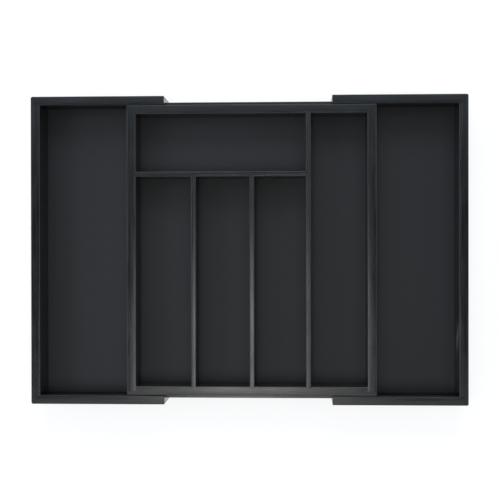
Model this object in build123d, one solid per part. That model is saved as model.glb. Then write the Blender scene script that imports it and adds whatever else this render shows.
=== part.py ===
from build123d import *
import os

# Extendable cutlery tray: a centre tray of five compartments between two wings that pull out.
# X runs from the left wing to the right wing, Y from front to back, Z up from the table.
# The origin is on the table, in the middle of the tray as it stands here, with both wings out.
# All lengths are in millimetres.

# Whole tray
tray_depth = 365.0
tray_height = 50.0
edge_radius = 0.8
wing_corner_radius = 2.2

# Wings: two rails, an end wall and a floor panel each
end_wall_thickness = 10.8
wing_rail_thickness = 10.4
wing_rail_length = 159.0
wing_floor_thickness = 3.0
wing_floor_height = 3.0
wing_floor_housing = 4.0
wing_floor_setback = 1.0

# How far each wing stands out, from the centre tray's side wall to its end wall
full_pull = 103.7
left_pull = full_pull
right_pull = 96.2

# Centre tray: two rails, two side walls and a floor panel
centre_width = 295.0
centre_rail_thickness = 10.8
centre_wall_thickness = 10.8
centre_floor_thickness = 3.0
centre_floor_rebate = 6.0

# Compartments and dividers of the centre tray
back_compartment_depth = 67.8
long_compartment_width = 66.3
left_narrow_width = 65.6
middle_narrow_width = 63.6
cross_divider_thickness = 6.4
long_divider_thickness = 6.0
short_divider_thickness = 5.6
divider_housing = 2.5

# Corner joints: one board is rebated for the end of the other
corner_housing = 6.0
joint_line = 0.1
panel_slack = 0.2

# Runners on the centre tray, which slide in grooves of the wing rails
runner_underside = 21.0
runner_height = 12.0
runner_proud = 5.0
runner_housing = 4.0
slide_gap = 0.4

# Stop pins, which keep the wings from coming off
stop_pin_diameter = 3.0
stop_pin_proud = 1.8
stop_pin_inset = 20.0
stop_pin_cover = 2.0
stop_clearance = 0.3

# Brads that hold the centre floor panel in its rebate
brad_diameter = 1.2
brad_head_diameter = 2.4
brad_head_height = 0.6
brad_length = 14.0
brad_inset = 30.0
pin_fit = 0.02

# Overrun of every cut past the face it starts from
overrun = 1.0

# Counts
rail_brad_count = 4
wall_brad_count = 3

# Sides
LEFT, RIGHT = -1, 1
FRONT, BACK = -1, 1

# Places worked out from the sizes above
centre_x = (left_pull - right_pull) / 2
wing_outer_y = tray_depth / 2
wing_inner_y = wing_outer_y - wing_rail_thickness
centre_outer_y = wing_inner_y - slide_gap
centre_inner_y = centre_outer_y - centre_rail_thickness
centre_outer_x = centre_width / 2
centre_inner_x = centre_outer_x - centre_wall_thickness
wing_floor_top = wing_floor_height + wing_floor_thickness
centre_base = wing_floor_top + slide_gap
centre_floor_top = centre_base + centre_floor_thickness
runner_top = runner_underside + runner_height
runner_outer_y = centre_outer_y + runner_proud
stop_pin_z = runner_underside + runner_height / 2
stop_pin_tip_y = runner_outer_y + stop_pin_proud

# Places of the dividers, measured from the middle of the centre tray
cross_back_y = centre_inner_y - back_compartment_depth
cross_front_y = cross_back_y - cross_divider_thickness
long_right_x = centre_inner_x - long_compartment_width
long_left_x = long_right_x - long_divider_thickness
left_short_x = -centre_inner_x + left_narrow_width
right_short_x = left_short_x + short_divider_thickness + middle_narrow_width


def span(one_end, other_end):
    """The two places, the lower one first."""
    return min(one_end, other_end), max(one_end, other_end)


def block(x_span, y_span, z_span):
    """A rectangular block between three pairs of places."""
    spans = (span(*x_span), span(*y_span), span(*z_span))
    middle = [(low + high) / 2 for low, high in spans]
    size = [high - low for low, high in spans]
    return Pos(*middle) * Box(*size)


def centre_block(x_span, y_span, z_span):
    """A block whose X places are measured from the middle of the centre tray."""
    return block([centre_x + x for x in x_span], y_span, z_span)


def rod(x, y_span, z, diameter):
    """A round rod along Y."""
    low, high = span(*y_span)
    lying = Pos(x, (low + high) / 2, z) * Rot(90, 0, 0)
    return lying * Cylinder(diameter / 2, high - low)


def post(x, y, z_span, diameter):
    """A round rod along Z."""
    low, high = span(*z_span)
    return Pos(x, y, (low + high) / 2) * Cylinder(diameter / 2, high - low)


def first_edges(shape, axis):
    """The edges of a shape that lie lowest along an axis."""
    return shape.edges().group_by(axis)[0]


def last_edges(shape, axis):
    """The edges of a shape that lie highest along an axis."""
    return shape.edges().group_by(axis)[-1]


def compartments():
    """The plan of the centre tray's five compartments, as X and Y spans."""
    narrow_y = (-centre_inner_y, cross_front_y)
    return [
        ((-centre_inner_x, long_left_x), (cross_back_y, centre_inner_y)),
        ((-centre_inner_x, left_short_x), narrow_y),
        ((left_short_x + short_divider_thickness, right_short_x), narrow_y),
        ((right_short_x + short_divider_thickness, long_left_x), narrow_y),
        ((long_right_x, centre_inner_x), (-centre_inner_y, centre_inner_y)),
    ]


def centre_frame():
    """The centre tray's walls and dividers in one, with eased edges: its boards are cut from it."""
    heights = (centre_base, tray_height)
    frame = centre_block(
        (-centre_outer_x, centre_outer_x), (-centre_outer_y, centre_outer_y), heights
    )
    outer_edges = frame.edges().filter_by(Axis.Z) + first_edges(frame, Axis.Z)
    frame = fillet(outer_edges, edge_radius)
    cut_heights = (centre_base - overrun, tray_height + overrun)
    for x_span, y_span in compartments():
        frame -= centre_block(x_span, y_span, cut_heights)
    return fillet(last_edges(frame, Axis.Z), edge_radius)


def centre_floor_rebate_space(slack):
    """The space under the centre tray's boards that the floor panel fills, less a slack all round."""
    reach_x = centre_inner_x + centre_floor_rebate - slack
    reach_y = centre_inner_y + centre_floor_rebate - slack
    return centre_block(
        (-reach_x, reach_x), (-reach_y, reach_y), (centre_base, centre_floor_top)
    )


def brad_places():
    """X and Y of each brad: in the rebate, outside the dividers' housings, evenly spaced."""
    brad_line = (divider_housing + centre_floor_rebate) / 2
    rebate_x = centre_inner_x + brad_line
    rebate_y = centre_inner_y + brad_line
    along_x = centre_inner_x - brad_inset
    along_y = centre_inner_y - brad_inset
    places = []
    for side in (FRONT, BACK):
        for n in range(rail_brad_count):
            x = -along_x + 2 * along_x * n / (rail_brad_count - 1)
            places.append((centre_x + x, side * rebate_y))
    for side in (LEFT, RIGHT):
        for n in range(wall_brad_count):
            y = -along_y + 2 * along_y * n / (wall_brad_count - 1)
            places.append((centre_x + side * rebate_x, y))
    return places


def brads(fit):
    """The brads, wider by a fit all round where the holes for them are cut."""
    top = centre_base + brad_length
    head_top = centre_base + brad_head_height
    made = []
    for x, y in brad_places():
        shank = post(x, y, (centre_base, top + fit), brad_diameter + 2 * fit)
        head = post(x, y, (centre_base, head_top + fit), brad_head_diameter + 2 * fit)
        made.append(shank + head)
    return made


def stop_pin_places():
    """X of the stop pins near the two ends of each runner, and the side that each is on."""
    reach = centre_outer_x - stop_pin_inset
    return [(centre_x + end * reach, side) for side in (FRONT, BACK) for end in (LEFT, RIGHT)]


def stop_pins(fit):
    """The stop pins, wider by a fit all round where the holes for them are cut."""
    inner_y = centre_inner_y + stop_pin_cover
    return [
        rod(x, (side * (inner_y - fit), side * stop_pin_tip_y), stop_pin_z, stop_pin_diameter + 2 * fit)
        for x, side in stop_pin_places()
    ]


def cut_all(shape, cutters):
    """A shape with several others cut from it."""
    for cutter in cutters:
        shape -= cutter
    return shape


def housings():
    """The slots in the boards for the ends of the dividers."""
    heights = (centre_floor_top, tray_height + overrun)
    rail_reach = centre_inner_y + divider_housing
    slots = [
        centre_block((long_left_x, long_right_x), (-rail_reach, rail_reach), heights),
        centre_block(
            (-centre_inner_x - divider_housing, long_left_x + divider_housing),
            (cross_front_y, cross_back_y),
            heights,
        ),
    ]
    for x in (left_short_x, right_short_x):
        slots.append(
            centre_block(
                (x, x + short_divider_thickness),
                (-rail_reach, cross_front_y + divider_housing),
                heights,
            )
        )
    return slots


def centre_rail(frame, side, slots, holes):
    """The front or back rail: full width, rebated for the side walls, the floor and the runner."""
    heights = (centre_base, tray_height)
    rail = frame & centre_block(
        (-centre_outer_x, centre_outer_x),
        (side * centre_inner_y, side * centre_outer_y),
        heights,
    )
    cut_heights = (centre_base - overrun, tray_height + overrun)
    housing_y = side * (centre_inner_y + corner_housing + joint_line)
    for end in (LEFT, RIGHT):
        rail -= centre_block(
            (end * centre_inner_x, end * (centre_outer_x + overrun)),
            (side * (centre_inner_y - overrun), housing_y),
            cut_heights,
        )
    runner_slot = centre_block(
        (-centre_outer_x - overrun, centre_outer_x + overrun),
        (side * (centre_outer_y - runner_housing), side * (centre_outer_y + overrun)),
        (runner_underside, runner_top),
    )
    return cut_all(rail, [runner_slot, centre_floor_rebate_space(0), *slots, *holes])


def centre_wall(frame, side, slots, holes):
    """The left or right side wall, whose ends are housed in the rails."""
    reach = centre_inner_y + corner_housing
    heights = (centre_base, tray_height)
    wall = frame & centre_block(
        (side * centre_inner_x, side * centre_outer_x), (-reach, reach), heights
    )
    return cut_all(wall, [centre_floor_rebate_space(0), *slots, *holes])


def long_divider(frame):
    """The divider that runs from the front rail to the back rail."""
    reach = centre_inner_y + divider_housing
    board = frame & centre_block(
        (long_left_x, long_right_x), (-reach, reach), (centre_floor_top, tray_height)
    )
    return board - centre_block(
        (long_left_x - overrun, long_left_x + divider_housing),
        (cross_front_y, cross_back_y),
        (centre_floor_top - overrun, tray_height + overrun),
    )


def cross_divider(frame):
    """The divider in front of the back compartment, from the left wall to the long divider."""
    board = frame & centre_block(
        (-centre_inner_x - divider_housing, long_left_x + divider_housing),
        (cross_front_y, cross_back_y),
        (centre_floor_top, tray_height),
    )
    for x in (left_short_x, right_short_x):
        board -= centre_block(
            (x, x + short_divider_thickness),
            (cross_front_y - overrun, cross_front_y + divider_housing),
            (centre_floor_top - overrun, tray_height + overrun),
        )
    return board


def short_divider(frame, x):
    """A divider from the front rail to the cross divider."""
    return frame & centre_block(
        (x, x + short_divider_thickness),
        (-centre_inner_y - divider_housing, cross_front_y + divider_housing),
        (centre_floor_top, tray_height),
    )


def runner(side, holes):
    """The strip let into a rail's outer face, which slides in the grooves of both wings."""
    strip = centre_block(
        (-centre_outer_x, centre_outer_x),
        (side * (centre_outer_y - runner_housing), side * runner_outer_y),
        (runner_underside, runner_top),
    )
    outer_edges = last_edges(strip, Axis.Y) if side == BACK else first_edges(strip, Axis.Y)
    return cut_all(fillet(outer_edges, edge_radius), holes)


def wing_x(side, pull, inset):
    """X of a place in a wing, by its distance in from the end wall's outer face."""
    return centre_x + side * (centre_outer_x + pull + end_wall_thickness - inset)


def wing_frame(side, pull):
    """A wing's end wall and two rails in one, with eased edges: its boards are cut from it."""
    heights = (0, tray_height)
    frame = block(
        (wing_x(side, pull, 0), wing_x(side, pull, wing_rail_length)),
        (-wing_outer_y, wing_outer_y),
        heights,
    )
    frame -= block(
        (wing_x(side, pull, end_wall_thickness), wing_x(side, pull, wing_rail_length + overrun)),
        (-wing_inner_y, wing_inner_y),
        (-overrun, tray_height + overrun),
    )
    for inset, radius in ((0, wing_corner_radius), (wing_rail_length, edge_radius)):
        x = wing_x(side, pull, inset)
        upright = frame.edges().filter_by(Axis.Z)
        at_x = upright.filter_by(lambda e: abs(e.center().X - x) < slide_gap)
        outer = at_x.filter_by(lambda e: abs(e.center().Y) > wing_inner_y + slide_gap)
        frame = fillet(outer, radius)
    return fillet(last_edges(frame, Axis.Z) + first_edges(frame, Axis.Z), edge_radius)


def wing_floor_space(side, pull, slack):
    """The wing's floor panel with its edges in the grooves, less a slack in each groove."""
    reach_y = wing_inner_y + wing_floor_housing - slack
    return block(
        (
            wing_x(side, pull, end_wall_thickness - wing_floor_housing + slack),
            wing_x(side, pull, wing_rail_length - wing_floor_setback),
        ),
        (-reach_y, reach_y),
        (wing_floor_height, wing_floor_top),
    )


def wing_floor_groove(side, pull):
    """The groove for the floor panel, cut right through to the rails' ends."""
    reach_y = wing_inner_y + wing_floor_housing
    return block(
        (
            wing_x(side, pull, end_wall_thickness - wing_floor_housing),
            wing_x(side, pull, wing_rail_length + overrun),
        ),
        (-reach_y, reach_y),
        (wing_floor_height, wing_floor_top),
    )


def end_wall(frame, side, pull):
    """A wing's end wall: full depth, rebated at both ends for the rails."""
    wall = frame & block(
        (wing_x(side, pull, 0), wing_x(side, pull, end_wall_thickness)),
        (-wing_outer_y, wing_outer_y),
        (0, tray_height),
    )
    for y_side in (FRONT, BACK):
        wall -= block(
            (
                wing_x(side, pull, end_wall_thickness - corner_housing),
                wing_x(side, pull, end_wall_thickness + overrun),
            ),
            (y_side * wing_inner_y, y_side * (wing_outer_y + overrun)),
            (-overrun, tray_height + overrun),
        )
    return wall - wing_floor_groove(side, pull)


def wing_rail(frame, side, pull, y_side):
    """A wing's rail, grooved for the runner, its stop pin and the floor panel."""
    end_inset = end_wall_thickness - corner_housing + joint_line
    rail = frame & block(
        (wing_x(side, pull, end_inset), wing_x(side, pull, wing_rail_length)),
        (y_side * wing_inner_y, y_side * wing_outer_y),
        (0, tray_height),
    )
    runner_groove = block(
        (wing_x(side, pull, 0), wing_x(side, pull, wing_rail_length + overrun)),
        (y_side * (wing_inner_y - overrun), y_side * (runner_outer_y + slide_gap)),
        (runner_underside - slide_gap, runner_top + slide_gap),
    )
    pin_reach = stop_pin_diameter / 2 + slide_gap
    stop_inset = end_wall_thickness + full_pull + stop_pin_inset
    stop_channel = block(
        (
            wing_x(side, pull, 0),
            wing_x(side, pull, stop_inset + stop_pin_diameter / 2 + stop_clearance),
        ),
        (y_side * (wing_inner_y - overrun), y_side * (stop_pin_tip_y + slide_gap)),
        (stop_pin_z - pin_reach, stop_pin_z + pin_reach),
    )
    return cut_all(rail, [runner_groove, stop_channel, wing_floor_groove(side, pull)])


def wing(name, side, pull):
    """The four pieces of one wing, by name."""
    frame = wing_frame(side, pull)
    return {
        f"{name}_wing_end_wall": end_wall(frame, side, pull),
        f"{name}_wing_back_rail": wing_rail(frame, side, pull, BACK),
        f"{name}_wing_front_rail": wing_rail(frame, side, pull, FRONT),
        f"{name}_wing_floor_panel": wing_floor_space(side, pull, panel_slack),
    }


def centre_tray():
    """The pieces of the centre tray, by name."""
    frame = centre_frame()
    slots = housings()
    pin_holes = stop_pins(pin_fit)
    brad_holes = brads(pin_fit)
    return {
        "centre_back_rail": centre_rail(frame, BACK, slots, pin_holes + brad_holes),
        "centre_front_rail": centre_rail(frame, FRONT, slots, pin_holes + brad_holes),
        "centre_left_wall": centre_wall(frame, LEFT, slots, brad_holes),
        "centre_right_wall": centre_wall(frame, RIGHT, slots, brad_holes),
        "centre_floor_panel": cut_all(centre_floor_rebate_space(panel_slack), brad_holes),
        "cross_divider": cross_divider(frame),
        "long_divider": long_divider(frame),
        "left_short_divider": short_divider(frame, left_short_x),
        "right_short_divider": short_divider(frame, right_short_x),
        "back_runner": runner(BACK, pin_holes),
        "front_runner": runner(FRONT, pin_holes),
        "stop_pins": Compound(children=stop_pins(0)),
        "floor_brads": Compound(children=brads(0)),
    }


def build():
    """Every piece of the tray, by the name of its file."""
    return {
        **centre_tray(),
        **wing("left", LEFT, left_pull),
        **wing("right", RIGHT, right_pull),
    }


os.makedirs("parts", exist_ok=True)
for node, shape in build().items():
    export_step(shape, f"parts/{node}.step")
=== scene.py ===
"""Looks of an extendable cutlery tray: satin black lacquered boards round matt black floor panels.

A centre tray of five compartments stands between two wings that pull out. Each wooden board is a
merged copy of its CAD node with the low crown that sanding gives its top edge, and each floor,
pin and brad is its CAD node with its own finish. All lengths are in metres.
"""

import logging
import math
from dataclasses import dataclass, field
from enum import Enum

import bmesh
import bpy
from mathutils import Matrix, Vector


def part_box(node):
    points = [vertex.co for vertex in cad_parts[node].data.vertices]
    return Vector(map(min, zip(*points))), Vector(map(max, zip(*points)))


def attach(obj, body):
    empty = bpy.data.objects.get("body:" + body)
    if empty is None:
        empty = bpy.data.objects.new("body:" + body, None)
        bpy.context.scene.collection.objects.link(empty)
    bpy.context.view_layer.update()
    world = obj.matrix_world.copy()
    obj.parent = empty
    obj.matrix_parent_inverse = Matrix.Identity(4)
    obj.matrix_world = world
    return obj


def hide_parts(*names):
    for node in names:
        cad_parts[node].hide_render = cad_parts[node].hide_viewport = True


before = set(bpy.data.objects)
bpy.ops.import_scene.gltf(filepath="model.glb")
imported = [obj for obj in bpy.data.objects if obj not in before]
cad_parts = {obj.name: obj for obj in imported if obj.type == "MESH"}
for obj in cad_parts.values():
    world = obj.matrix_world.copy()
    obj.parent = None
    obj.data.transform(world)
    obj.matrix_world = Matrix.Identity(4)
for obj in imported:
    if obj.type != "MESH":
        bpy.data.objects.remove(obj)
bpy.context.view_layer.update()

MILLIMETRE = 0.001

# The sRGB curve, straight up to its knee and a power above it
SRGB_KNEE = 0.04045
SRGB_SLOPE = 12.92
SRGB_OFFSET = 0.055
SRGB_POWER = 2.4
FULL_CHANNEL = 255

# The values that a noise texture mostly keeps between
NOISE_LOW = 0.25
NOISE_HIGH = 0.75

log = logging.getLogger("cutlery_tray")


class Grain(Enum):
    """Which way a board's length, and with it the grain, runs."""

    ALONG_X = "x"
    ALONG_Y = "y"

    @property
    def turn(self) -> float:
        """The angle about Z, in radians, that brings the pattern's length along the board."""
        return math.pi / 2 if self is Grain.ALONG_Y else 0.0

    @property
    def across(self) -> Vector:
        """The direction across the board's width."""
        return Vector((1, 0, 0)) if self is Grain.ALONG_Y else Vector((0, 1, 0))


def linear(colour: str) -> tuple[float, float, float, float]:
    """Turns an sRGB hex colour into a linear one.

    Args:
        colour: The colour as written on screen, such as "#1a1b1d".

    Returns:
        Red, green, blue and an alpha of 1.
    """
    channels = [byte / FULL_CHANNEL for byte in bytes.fromhex(colour.lstrip("#"))]
    turned = [
        c / SRGB_SLOPE if c <= SRGB_KNEE else ((c + SRGB_OFFSET) / (1 + SRGB_OFFSET)) ** SRGB_POWER
        for c in channels
    ]
    return (*turned, 1.0)


def add(
    tree: bpy.types.NodeTree,
    kind: str,
    inputs: dict[str | int, object] | None = None,
    **settings: object,
) -> bpy.types.Node:
    """Adds one node to a shader.

    Args:
        tree: The shader's node tree.
        kind: The node's type, without its leading "ShaderNode".
        inputs: For each input, by name or number, a value or another node's output to link.
        settings: The node's own properties, such as operation or data_type.

    Returns:
        The new node.
    """
    node = tree.nodes.new(f"ShaderNode{kind}")
    for name, value in settings.items():
        setattr(node, name, value)
    for socket, value in (inputs or {}).items():
        if isinstance(value, bpy.types.NodeSocket):
            tree.links.new(value, node.inputs[socket])
        else:
            node.inputs[socket].default_value = value
    return node


def new_material(name: str) -> tuple[bpy.types.Material, bpy.types.NodeTree]:
    """Makes a material with nothing in it yet.

    Args:
        name: The material's name.

    Returns:
        The material and its empty node tree.
    """
    material = bpy.data.materials.new(name)
    material.use_nodes = True
    material.node_tree.nodes.clear()
    return material, material.node_tree


def join_surface(
    tree: bpy.types.NodeTree,
    colour: bpy.types.NodeSocket,
    gloss: bpy.types.NodeSocket,
    roughness: tuple[float, float],
    relief: bpy.types.NodeSocket,
    noises: int = 1,
    **even: float,
) -> None:
    """Joins a finish's colour, uneven gloss and relief in one shader.

    Args:
        tree: The material's node tree.
        colour: The colour.
        gloss: The pattern of the gloss.
        roughness: The roughness where that pattern is low, and where it is high.
        relief: How far each point stands out.
        noises: How many noises the pattern of the gloss is the sum of.
        even: The shader's inputs that are the same all over.
    """
    smooth_end, rough_end = roughness
    uneven = add(
        tree,
        "MapRange",
        {
            "Value": gloss,
            "From Min": noises * NOISE_LOW,
            "From Max": noises * NOISE_HIGH,
            "To Min": smooth_end,
            "To Max": rough_end,
        },
    ).outputs["Result"]
    normal = add(tree, "Bump", {"Height": relief, "Strength": 1.0, "Distance": 1.0}).outputs[0]
    inputs = {"Base Color": colour, "Roughness": uneven, "Normal": normal, **even}
    surface = add(tree, "BsdfPrincipled", inputs)
    add(tree, "OutputMaterial", {"Surface": surface.outputs[0]})


def dress(piece: bpy.types.Object, material: bpy.types.Material) -> None:
    """Gives every face of a piece one material.

    Args:
        piece: The piece.
        material: The material.
    """
    if not piece.material_slots:
        piece.data.materials.append(material)
    for slot in piece.material_slots:
        slot.material = material


def new_object(name: str, data: bpy.types.ID) -> bpy.types.Object:
    """Puts a new object into the scene.

    Args:
        name: The object's name.
        data: Its mesh, light or camera.

    Returns:
        The object.
    """
    item = bpy.data.objects.new(name, data)
    bpy.context.scene.collection.objects.link(item)
    return item


def new_piece(name: str, shape: bmesh.types.BMesh) -> bpy.types.Object:
    """Puts a finished shape into the scene.

    Args:
        name: The name of the piece and of its mesh.
        shape: The shape, which is freed.

    Returns:
        The piece.
    """
    mesh = bpy.data.meshes.new(name)
    shape.to_mesh(mesh)
    shape.free()
    return new_object(name, mesh)


@dataclass(frozen=True)
class PaintedHighlight:
    """A painted highlight: a slanting pale streak, painted into the film's colour on a face that is
    square to X.

    Attributes:
        face: X of the face.
        along: Y of the streak's middle.
        up: Z of the streak's middle.
        length: Its greatest length, along Y before it is slanted.
        height: Its greatest height.
        reach: How deep into the board it colours, from the face.
        slant: The angle that it is turned by about X, in radians.
    """

    face: float
    along: float
    up: float
    length: float
    height: float
    reach: float
    slant: float


@dataclass(frozen=True)
class SatinBlackLacquer:
    """Satin black lacquer, sprayed thin over planed bamboo.

    The film is near black and smooth, so the eye sees it by the soft lamps it reflects. The fibres
    of the bamboo show through it as faint ridges along the board, the spray leaves a slight
    orange peel, and on some edges the film is thin enough for the wood to warm it.
    """

    film: str = "#0a0b0c"
    film_over_fibre: str = "#232428"
    thin_film: str = "#1d1712"
    # The colour of the painted highlight, a pale streak in the film
    highlight_colour: str = "#857c73"
    index_of_refraction: float = 1.5
    roughness: float = 0.22
    roughness_spread: float = 0.07

    # A fibre bundle is 0.3 mm wide, drawn wider here so that it shows at a pixel of 1.2 mm
    fibre_width: float = 1.1 * MILLIMETRE
    fibre_length: float = 60 * MILLIMETRE
    fibre_detail: float = 3.0
    fibre_ridge: float = 0.008 * MILLIMETRE

    # The film hides the fibres where their noise is below the first value, and is thin above the second
    fibre_hidden: float = 0.38
    fibre_bare: float = 0.72

    # Orange peel of a sprayed film
    peel_size: float = 4 * MILLIMETRE
    peel_height: float = 0.002 * MILLIMETRE

    # Uneven gloss from the spray gun's passes
    cloud_size: float = 35 * MILLIMETRE

    # Thin film at the board's edges, in patches where their noise is above the first value
    edge_reach: float = 1.0 * MILLIMETRE
    patch_size: float = 45 * MILLIMETRE
    patch_detail: float = 4.0
    patch_starts: float = 0.5
    patch_full: float = 0.7
    thin_share: float = 0.5

    # The painted highlight is full over this share of the way to its rim, and fades from there
    highlight_core_share: float = 0.2

    # A noise stretched along the board draws the painted highlight in unevenly, by up to this share of
    # that way
    ragged_share: float = 0.7
    ragged_length: float = 14 * MILLIMETRE
    ragged_width: float = 1.2 * MILLIMETRE

    def material(
        self, name: str, middle: Vector, width: float, grain: Grain, painted_highlight: PaintedHighlight | None
    ) -> bpy.types.Material:
        """Makes the lacquer for one board, with its grain along the board.

        Args:
            name: The board's name.
            middle: The middle of the board, where the pattern is centred.
            width: The board's thickness, seen from above.
            grain: Which way the board runs.
            painted_highlight: A painted highlight on the board, or None.

        Returns:
            The material.
        """
        material, tree = new_material(f"satin_black_lacquer_{name}")
        place = add(tree, "TexCoord").outputs["Object"]
        board = add(
            tree,
            "Mapping",
            {"Vector": place, "Location": middle, "Rotation": (0, 0, grain.turn)},
            vector_type="TEXTURE",
        ).outputs["Vector"]
        fibre = self.fibres(tree, board)
        cloud = add(tree, "TexNoise", {"Vector": board, "Scale": 1 / self.cloud_size}).outputs[0]
        peel = add(tree, "TexNoise", {"Vector": board, "Scale": 1 / self.peel_size}).outputs[0]

        shown = add(
            tree,
            "MapRange",
            {"Value": fibre, "From Min": self.fibre_hidden, "From Max": self.fibre_bare},
        ).outputs["Result"]
        film = add(
            tree,
            "Mix",
            {"Factor": shown, "A": linear(self.film), "B": linear(self.film_over_fibre)},
            data_type="RGBA",
        ).outputs["Result"]
        colour = self.thinned(tree, board, film, width)
        # Paints a highlight into the film's colour, as a pale streak, where the board has one
        if painted_highlight:
            colour = self.paint_highlight(tree, place, board, colour, painted_highlight)

        gloss = add(tree, "Math", {0: fibre, 1: cloud}, operation="ADD").outputs[0]
        rough = (self.roughness - self.roughness_spread, self.roughness + self.roughness_spread)
        ridges = add(tree, "Math", {0: fibre, 1: self.fibre_ridge}, operation="MULTIPLY").outputs[0]
        relief = add(
            tree, "Math", {0: peel, 1: self.peel_height, 2: ridges}, operation="MULTIPLY_ADD"
        ).outputs[0]
        join_surface(tree, colour, gloss, rough, relief, noises=2, IOR=self.index_of_refraction)
        return material

    def fibres(self, tree: bpy.types.NodeTree, board: bpy.types.NodeSocket) -> bpy.types.NodeSocket:
        """Draws the fibres as a noise that is long along the board and narrow across it.

        Args:
            tree: The shader's node tree.
            board: The place on the board, X along it and Y across it.

        Returns:
            The noise.
        """
        stretch = (1 / self.fibre_length, 1 / self.fibre_width, 1 / self.fibre_width)
        drawn_out = add(tree, "VectorMath", {0: board, 1: stretch}, operation="MULTIPLY").outputs[0]
        noise = add(tree, "TexNoise", {"Vector": drawn_out, "Scale": 1.0, "Detail": self.fibre_detail})
        return noise.outputs[0]

    def thinned(
        self,
        tree: bpy.types.NodeTree,
        board: bpy.types.NodeSocket,
        film: bpy.types.NodeSocket,
        width: float,
    ) -> bpy.types.NodeSocket:
        """Warms the film in patches along the board's long edges, where it is thin.

        Args:
            tree: The shader's node tree.
            board: The place on the board, X along it and Y across it.
            film: The colour of the full film.
            width: The board's thickness, seen from above.

        Returns:
            The colour with its thin patches.
        """
        across = add(tree, "SeparateXYZ", {"Vector": board}).outputs["Y"]
        off_middle = add(tree, "Math", {0: across}, operation="ABSOLUTE").outputs[0]
        edge = add(
            tree,
            "MapRange",
            {"Value": off_middle, "From Min": width / 2 - self.edge_reach, "From Max": width / 2},
        ).outputs["Result"]
        patches = add(
            tree,
            "TexNoise",
            {"Vector": board, "Scale": 1 / self.patch_size, "Detail": self.patch_detail},
        ).outputs[0]
        thin = add(
            tree,
            "MapRange",
            {
                "Value": patches,
                "From Min": self.patch_starts,
                "From Max": self.patch_full,
                "To Max": self.thin_share,
            },
        ).outputs["Result"]
        share = add(tree, "Math", {0: edge, 1: thin}, operation="MULTIPLY").outputs[0]
        return add(
            tree, "Mix", {"Factor": share, "A": film, "B": linear(self.thin_film)}, data_type="RGBA"
        ).outputs["Result"]

    def paint_highlight(
        self,
        tree: bpy.types.NodeTree,
        place: bpy.types.NodeSocket,
        board: bpy.types.NodeSocket,
        film: bpy.types.NodeSocket,
        painted_highlight: PaintedHighlight,
    ) -> bpy.types.NodeSocket:
        """Paints a highlight into the film: a soft pale streak, made ragged by a noise stretched along
        the board.

        Args:
            tree: The shader's node tree.
            place: The place on the model.
            board: The place on the board, X along it and Y across it.
            film: The colour outside the streak.
            painted_highlight: The painted highlight.

        Returns:
            The colour with the streak.
        """
        streak = add(
            tree,
            "Mapping",
            {
                "Vector": place,
                "Location": (painted_highlight.face, painted_highlight.along, painted_highlight.up),
                "Rotation": (painted_highlight.slant, 0, 0),
                "Scale": (painted_highlight.reach, painted_highlight.length / 2, painted_highlight.height / 2),
            },
            vector_type="TEXTURE",
        ).outputs["Vector"]
        off_middle = add(tree, "VectorMath", {0: streak}, operation="LENGTH").outputs["Value"]
        stretch = (1 / self.ragged_length, 1 / self.ragged_width, 1 / self.ragged_width)
        drawn_out = add(tree, "VectorMath", {0: board, 1: stretch}, operation="MULTIPLY").outputs[0]
        ragged_noise = add(tree, "TexNoise", {"Vector": drawn_out, "Scale": 1.0}).outputs[0]
        drawn_in = add(
            tree, "Math", {0: ragged_noise, 1: self.ragged_share, 2: off_middle}, operation="MULTIPLY_ADD"
        ).outputs[0]
        share = add(
            tree,
            "MapRange",
            {
                "Value": drawn_in,
                "From Min": self.highlight_core_share,
                "From Max": 1.0,
                "To Min": 1.0,
                "To Max": 0.0,
            },
            interpolation_type="SMOOTHSTEP",
        ).outputs["Result"]
        return add(
            tree, "Mix", {"Factor": share, "A": film, "B": linear(self.highlight_colour)}, data_type="RGBA"
        ).outputs["Result"]


@dataclass(frozen=True)
class MattBlackPanel:
    """Thin bamboo plywood, painted matt black with a roller.

    The paint sinks into the veneer, so the panel scatters the lamps widely and looks dark grey,
    with a fine tooth and slow, faint clouds.
    """

    paint: str = "#181a1e"
    paint_cloud: str = "#1d1f23"
    index_of_refraction: float = 1.45
    roughness: float = 0.5
    roughness_spread: float = 0.04

    # The clouds and the tooth are this many times as long, along the veneer, as they are wide
    length_ratio: float = 3.0
    cloud_size: float = 70 * MILLIMETRE
    cloud_detail: float = 3.0

    # The roller's tooth, which is 0.4 mm, drawn as coarse as a pixel
    tooth_size: float = 1.2 * MILLIMETRE
    tooth_height: float = 0.01 * MILLIMETRE

    def material(self, name: str, middle: Vector, grain: Grain) -> bpy.types.Material:
        """Makes the paint for one panel.

        Args:
            name: The panel's name.
            middle: The middle of the panel.
            grain: Which way the veneer runs.

        Returns:
            The material.
        """
        material, tree = new_material(f"matt_black_panel_{name}")
        place = add(tree, "TexCoord").outputs["Object"]
        panel = add(
            tree,
            "Mapping",
            {
                "Vector": place,
                "Location": middle,
                "Rotation": (0, 0, grain.turn),
                "Scale": (self.length_ratio, 1, 1),
            },
            vector_type="TEXTURE",
        ).outputs["Vector"]
        cloud = add(
            tree,
            "TexNoise",
            {"Vector": panel, "Scale": 1 / self.cloud_size, "Detail": self.cloud_detail},
        ).outputs[0]
        tooth = add(tree, "TexNoise", {"Vector": panel, "Scale": 1 / self.tooth_size}).outputs[0]
        colour = add(
            tree,
            "Mix",
            {"Factor": cloud, "A": linear(self.paint), "B": linear(self.paint_cloud)},
            data_type="RGBA",
        ).outputs["Result"]
        rough = (self.roughness - self.roughness_spread, self.roughness + self.roughness_spread)
        relief = add(tree, "Math", {0: tooth, 1: self.tooth_height}, operation="MULTIPLY").outputs[0]
        join_surface(tree, colour, tooth, rough, relief, IOR=self.index_of_refraction)
        return material


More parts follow.
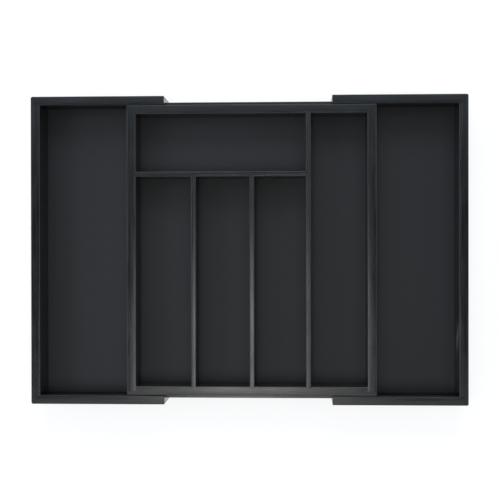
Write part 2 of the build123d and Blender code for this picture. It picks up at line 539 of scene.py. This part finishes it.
@dataclass(frozen=True)
class DrawnSteel:
    """Bright drawn steel wire, cut and headed into pins and brads.

    Drawing and heading leave it a fine, uneven skin with a slightly dull shine.
    """

    metal: str = "#b8babc"
    metal_dull: str = "#9c9ea1"
    roughness: float = 0.32
    roughness_spread: float = 0.06
    skin_size: float = 0.25 * MILLIMETRE
    skin_height: float = 0.002 * MILLIMETRE

    def material(self) -> bpy.types.Material:
        """Makes the steel.

        Returns:
            The material.
        """
        material, tree = new_material("drawn_steel")
        place = add(tree, "TexCoord").outputs["Object"]
        skin = add(tree, "TexNoise", {"Vector": place, "Scale": 1 / self.skin_size}).outputs[0]
        colour = add(
            tree,
            "Mix",
            {"Factor": skin, "A": linear(self.metal), "B": linear(self.metal_dull)},
            data_type="RGBA",
        ).outputs["Result"]
        rough = (self.roughness - self.roughness_spread, self.roughness + self.roughness_spread)
        relief = add(tree, "Math", {0: skin, 1: self.skin_height}, operation="MULTIPLY").outputs[0]
        join_surface(tree, colour, skin, rough, relief, Metallic=1.0)
        return material


@dataclass
class Board:
    """A wooden board: a merged copy of its CAD node, crowned along its top and lacquered.

    Attributes:
        node: The CAD node that the board stands for.
        body: The body that it rides on.
        grain: Which way it runs.
        crown: How far the crown's edges lie below its middle.
        lacquer: The finish.
        painted_highlight: A painted highlight on it, or None.
        slot: The record's material slot, which is not used.
        edge_radius: The radius of its eased edges.
        crown_depth: How far down from the top the crown moves the board, past its eased edges.
        weld_distance: Points nearer to each other than this are one.
        smooth_angle: Faces that meet at less than this angle, in radians, are shaded as one.
        strips_a_side: How many strips the crown has on each side of its middle.
        low: The lowest corner of its box.
        high: The highest corner of its box.
        middle: The middle of its box.
        width: Its thickness, seen from above.
    """

    node: str
    body: str
    grain: Grain
    crown: float
    lacquer: SatinBlackLacquer = SatinBlackLacquer()
    painted_highlight: PaintedHighlight | None = None
    slot: str = "black_lacquered_wood"
    edge_radius: float = 0.8 * MILLIMETRE
    crown_depth: float = 1.6 * MILLIMETRE
    weld_distance: float = 0.001 * MILLIMETRE
    smooth_angle: float = math.radians(30)
    strips_a_side: int = 4
    low: Vector = field(init=False)
    high: Vector = field(init=False)
    middle: Vector = field(init=False)
    width: float = field(init=False)

    def __post_init__(self) -> None:
        """Takes the board's place and width from its CAD node."""
        self.low, self.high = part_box(self.node)
        self.middle = (self.low + self.high) / 2
        self.width = (self.high - self.low).dot(self.grain.across)

    def build(self) -> bpy.types.Object:
        """Makes the board, puts it on its body and dresses it.

        Returns:
            The board.
        """
        shape = bmesh.new()
        shape.from_mesh(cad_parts[self.node].data)
        bmesh.ops.remove_doubles(shape, verts=shape.verts, dist=self.weld_distance)
        self.crown_top(shape)
        self.mark_smooth(shape)
        piece = new_piece(f"{self.node}_board", shape)
        weighted = piece.modifiers.new("weighted_normals", "WEIGHTED_NORMAL")
        weighted.keep_sharp = True
        dress(piece, self.lacquer.material(self.node, self.middle, self.width, self.grain, self.painted_highlight))
        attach(piece, self.body)
        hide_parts(self.node)
        return piece

    def crown_top(self, shape: bmesh.types.BMesh) -> None:
        """Cuts the level top into strips along the board and lowers them towards both edges.

        Args:
            shape: The board's shape, which is changed.
        """
        across = self.grain.across
        reach = self.width / 2 - self.edge_radius
        for strip in range(1 - self.strips_a_side, self.strips_a_side):
            top = [face for face in shape.faces if self.is_top(face)]
            edges = {edge for face in top for edge in face.edges}
            corners = {corner for face in top for corner in face.verts}
            bmesh.ops.bisect_plane(
                shape,
                geom=[*top, *edges, *corners],
                dist=self.weld_distance,
                plane_co=self.middle + across * (reach * strip / self.strips_a_side),
                plane_no=across,
            )
        for corner in shape.verts:
            if corner.co.z > self.high.z - self.crown_depth:
                off_middle = (corner.co - self.middle).dot(across) / (self.width / 2)
                corner.co.z -= self.crown * off_middle**2

    def is_top(self, face: bmesh.types.BMFace) -> bool:
        """Whether a face is part of the board's level top."""
        return face.calc_center_median().z > self.high.z - self.weld_distance

    def mark_smooth(self, shape: bmesh.types.BMesh) -> None:
        """Shades the faces smooth, with a hard line only at the true corners.

        Args:
            shape: The board's shape, which is changed.
        """
        for face in shape.faces:
            face.smooth = True
        for edge in shape.edges:
            edge.smooth = edge.is_manifold and edge.calc_face_angle() < self.smooth_angle


@dataclass
class Panel:
    """A floor panel: its CAD node, painted matt black.

    Attributes:
        node: The CAD node.
        grain: Which way its veneer runs.
        paint: The finish.
        slot: The record's material slot, which is not used.
    """

    node: str
    grain: Grain = Grain.ALONG_Y
    paint: MattBlackPanel = MattBlackPanel()
    slot: str = "black_floor_panel"

    def build(self) -> bpy.types.Object:
        """Dresses the panel.

        Returns:
            The panel.
        """
        low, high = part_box(self.node)
        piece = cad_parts[self.node]
        dress(piece, self.paint.material(self.node, (low + high) / 2, self.grain))
        return piece


@dataclass
class CentreTray:
    """The centre tray: four boards round its floor, four dividers, two runners, pins and brads."""

    body: str = "centre_tray"
    wall_crown: float = 0.11 * MILLIMETRE
    divider_crown: float = 0.06 * MILLIMETRE
    runner_crown: float = 0.0

    # The dividers were sprayed one by one, and their gloss differs a little
    cross_lacquer: SatinBlackLacquer = SatinBlackLacquer(roughness=0.25)
    long_lacquer: SatinBlackLacquer = SatinBlackLacquer(roughness=0.28)
    short_lacquer: SatinBlackLacquer = SatinBlackLacquer(roughness=0.225)

    steel: DrawnSteel = DrawnSteel()
    steel_slot: str = "steel_pins"

    def build(self) -> list[bpy.types.Object]:
        """Builds and dresses every piece of the centre tray."""
        return [*self.walls(), *self.dividers(), *self.runners(), self.floor(), *self.hardware()]

    def walls(self) -> list[bpy.types.Object]:
        """Builds the two rails and the two side walls.

        Returns:
            The four boards.
        """
        runs = {
            "centre_back_rail": Grain.ALONG_X,
            "centre_front_rail": Grain.ALONG_X,
            "centre_left_wall": Grain.ALONG_Y,
            "centre_right_wall": Grain.ALONG_Y,
        }
        return [Board(node, self.body, grain, self.wall_crown).build() for node, grain in runs.items()]

    def dividers(self) -> list[bpy.types.Object]:
        """Builds the cross divider, the long divider and the two short ones.

        Returns:
            The four dividers.
        """
        runs = {
            "cross_divider": (Grain.ALONG_X, self.cross_lacquer),
            "long_divider": (Grain.ALONG_Y, self.long_lacquer),
            "left_short_divider": (Grain.ALONG_Y, self.short_lacquer),
            "right_short_divider": (Grain.ALONG_Y, self.short_lacquer),
        }
        return [
            Board(node, self.body, grain, self.divider_crown, lacquer).build()
            for node, (grain, lacquer) in runs.items()
        ]

    def runners(self) -> list[bpy.types.Object]:
        """Builds the strips that slide in the wings' grooves."""
        nodes = ("back_runner", "front_runner")
        return [Board(node, self.body, Grain.ALONG_X, self.runner_crown).build() for node in nodes]

    def floor(self) -> bpy.types.Object:
        """Paints the floor panel."""
        return Panel("centre_floor_panel").build()

    def hardware(self) -> list[bpy.types.Object]:
        """Dresses the stop pins and the brads.

        Returns:
            The pins and the brads.
        """
        steel = self.steel.material()
        pieces = [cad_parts[node] for node in ("stop_pins", "floor_brads")]
        for piece in pieces:
            dress(piece, steel)
        return pieces


@dataclass
class Wing:
    """A wing that pulls out: an end wall and two rails round a floor panel.

    Attributes:
        side: "left" or "right", as the nodes and the body are named.
        crown: How far the crown's edges lie below its middle.
        painted_highlight: A painted highlight on the end wall, or None.
    """

    side: str
    crown: float = 0.11 * MILLIMETRE
    painted_highlight: PaintedHighlight | None = None

    def build(self) -> list[bpy.types.Object]:
        """Builds and dresses every piece of the wing.

        Returns:
            The three boards and the floor panel.
        """
        body = f"{self.side}_wing"
        runs = {
            "end_wall": Grain.ALONG_Y,
            "back_rail": Grain.ALONG_X,
            "front_rail": Grain.ALONG_X,
        }
        # The end wall carries the painted highlight, a pale streak on its inside
        painted_highlights = {"end_wall": self.painted_highlight}
        boards = [
            Board(f"{body}_{part}", body, grain, self.crown, painted_highlight=painted_highlights.get(part)).build()
            for part, grain in runs.items()
        ]
        return [*boards, Panel(f"{body}_floor_panel").build()]


@dataclass(frozen=True)
class SoftLamp:
    """A softbox that faces the tray.

    Attributes:
        name: What it is called.
        place: Its middle.
        width: Its width.
        depth: Its depth.
        brightness: How bright its face looks, where 1 is white.
        colour: The colour of its light.
        aim: The point that it faces.
    """

    name: str
    place: tuple[float, float, float]
    width: float
    depth: float
    brightness: float
    colour: str
    aim: tuple[float, float, float] = (0.0, 0.0, 0.05)

    def build(self) -> bpy.types.Object:
        """Makes the lamp.

        Returns:
            The lamp.
        """
        light = bpy.data.lights.new(self.name, "AREA")
        light.shape = "RECTANGLE"
        light.size = self.width
        light.size_y = self.depth

        # A face of brightness 1 sends out pi watts a square metre
        light.energy = self.brightness * math.pi * self.width * self.depth
        light.color = linear(self.colour)[:3]
        lamp = new_object(self.name, light)
        lamp.location = self.place
        lamp.rotation_euler = (Vector(self.aim) - Vector(self.place)).to_track_quat("-Z", "Y").to_euler()
        return lamp


@dataclass
class Studio:
    """The floor, the world, the lamps and the camera."""

    # A wide pale table top that runs out to the horizon
    floor_radius: float = 14.0
    floor_gap: float = 0.3 * MILLIMETRE
    floor_sides: int = 64
    floor_colour: str = "#8c8c8c"

    # The lamps add to the floor's own glow near the tray, and beyond their reach it glows more
    glow_near: float = 0.7
    glow_far: float = 3.0
    near_glow: float = 0.81
    far_glow: float = 1.0

    # The room is white round the sides and dark overhead, where only the lamps hang
    room_colour: str = "#ffffff"
    side_light: float = 1.0
    overhead_light: float = 0.05

    # The sine of the angle above the horizon where the sides end, and where overhead starts
    sides_end: float = 0.25
    overhead_starts: float = 0.6

    # The camera of the photograph, above the tray and a little to its right, with its tilt in degrees
    camera_place: tuple[float, float, float] = (0.05705, 0.00739, 1.35218)
    camera_tilt: tuple[float, float, float] = (-0.321, 2.404, -0.088)

    # Its focal length and its sensor's width, in millimetres
    lens: float = 79.64
    sensor_width: float = 36.0

    # The name, middle, width, depth, brightness and colour of each lamp
    lamps: tuple[SoftLamp, ...] = (
        SoftLamp("key_softbox", (-0.10, -0.31, 2.45), 0.44, 0.52, 5.8, "#fffefa"),
        SoftLamp("front_strip", (0.0, -0.85, 2.45), 2.7, 0.7, 1.1, "#ffffff"),
        SoftLamp("back_strip", (0.0, 0.80, 2.45), 2.7, 0.9, 0.75, "#e6f5ff"),
        SoftLamp("back_softbox", (0.0, 2.0, 1.9), 1.8, 1.2, 4.8, "#edf4ff"),
        SoftLamp("left_softbox", (-2.1, 0.0, 1.7), 1.4, 1.8, 3.4, "#e6f1ff"),
        SoftLamp("right_softbox", (2.3, 0.0, 1.3), 1.4, 1.8, 1.9, "#eef8ff"),
    )

    def build(self) -> list[bpy.types.Object]:
        """Builds the whole studio."""
        self.light_room()
        return [self.floor(), *[lamp.build() for lamp in self.lamps], self.camera()]

    def floor(self) -> bpy.types.Object:
        """Lays the floor.

        Returns:
            The floor.
        """
        shape = bmesh.new()
        bmesh.ops.create_circle(shape, cap_ends=True, segments=self.floor_sides, radius=self.floor_radius)
        bmesh.ops.translate(shape, verts=shape.verts, vec=(0, 0, -self.floor_gap))
        piece = new_piece("pale_floor", shape)
        dress(piece, self.floor_material())
        return piece

    def floor_material(self) -> bpy.types.Material:
        """Makes the pale floor, whose own glow only the camera, gloss and glass see.

        Returns:
            The material.
        """
        material, tree = new_material("pale_floor")
        place = add(tree, "TexCoord").outputs["Object"]
        away = add(tree, "VectorMath", {0: place}, operation="LENGTH").outputs["Value"]
        strength = add(
            tree,
            "MapRange",
            {
                "Value": away,
                "From Min": self.glow_near,
                "From Max": self.glow_far,
                "To Min": self.near_glow,
                "To Max": self.far_glow,
            },
        ).outputs["Result"]
        path = add(tree, "LightPath").outputs
        seen = add(
            tree, "Math", {0: path["Is Camera Ray"], 1: path["Is Glossy Ray"]}, operation="ADD"
        ).outputs[0]
        seen = add(tree, "Math", {0: seen, 1: path["Is Transmission Ray"]}, operation="ADD").outputs[0]
        glow = add(tree, "Math", {0: seen, 1: strength}, operation="MULTIPLY").outputs[0]
        paper = add(tree, "BsdfDiffuse", {"Color": linear(self.floor_colour)})
        light = add(tree, "Emission", {"Color": linear(self.room_colour), "Strength": glow})
        both = add(tree, "AddShader", {0: paper.outputs[0], 1: light.outputs[0]})
        add(tree, "OutputMaterial", {"Surface": both.outputs[0]})
        return material

    def light_room(self) -> None:
        """Lights the room evenly from its sides and more weakly from overhead."""
        world = bpy.data.worlds.new("room")
        world.use_nodes = True
        tree = world.node_tree
        tree.nodes.clear()
        direction = add(tree, "TexCoord").outputs["Generated"]
        height = add(tree, "SeparateXYZ", {"Vector": direction}).outputs["Z"]
        strength = add(
            tree,
            "MapRange",
            {
                "Value": height,
                "From Min": self.sides_end,
                "From Max": self.overhead_starts,
                "To Min": self.side_light,
                "To Max": self.overhead_light,
            },
        ).outputs["Result"]
        light = add(tree, "Background", {"Color": linear(self.room_colour), "Strength": strength})
        add(tree, "OutputWorld", {"Surface": light.outputs[0]})
        bpy.context.scene.world = world

    def camera(self) -> bpy.types.Object:
        """Places the camera of the photograph.

        Returns:
            The camera.
        """
        data = bpy.data.cameras.new("photo_camera")
        data.sensor_width = self.sensor_width
        data.lens = self.lens
        camera = new_object("photo_camera", data)
        camera.location = self.camera_place
        camera.rotation_euler = [math.radians(angle) for angle in self.camera_tilt]
        bpy.context.scene.camera = camera
        return camera


def end_wall_highlight() -> PaintedHighlight:
    """Works out the painted highlight: a light streak on the right wing's end wall, inside.

    Returns:
        The streak.
    """
    inner_corner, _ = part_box("right_wing_end_wall")
    return PaintedHighlight(
        face=inner_corner.x,
        along=-105 * MILLIMETRE,
        up=33 * MILLIMETRE,
        length=96 * MILLIMETRE,
        height=30 * MILLIMETRE,
        reach=4 * MILLIMETRE,
        slant=math.radians(26),
    )


def main() -> None:
    """Builds the tray's sub-assemblies and the studio in order, and reports each piece."""
    logging.basicConfig(level=logging.INFO, format="%(name)s: %(message)s")
    bpy.context.scene.view_settings.view_transform = "Standard"
    for assembly in (CentreTray(), Wing("left"), Wing("right", painted_highlight=end_wall_highlight())):
        for piece in assembly.build():
            log.info("%s: %d faces", piece.name, len(piece.data.polygons))
    for item in Studio().build():
        log.info("studio: %s", item.name)


if __name__ == "__main__":
    main()
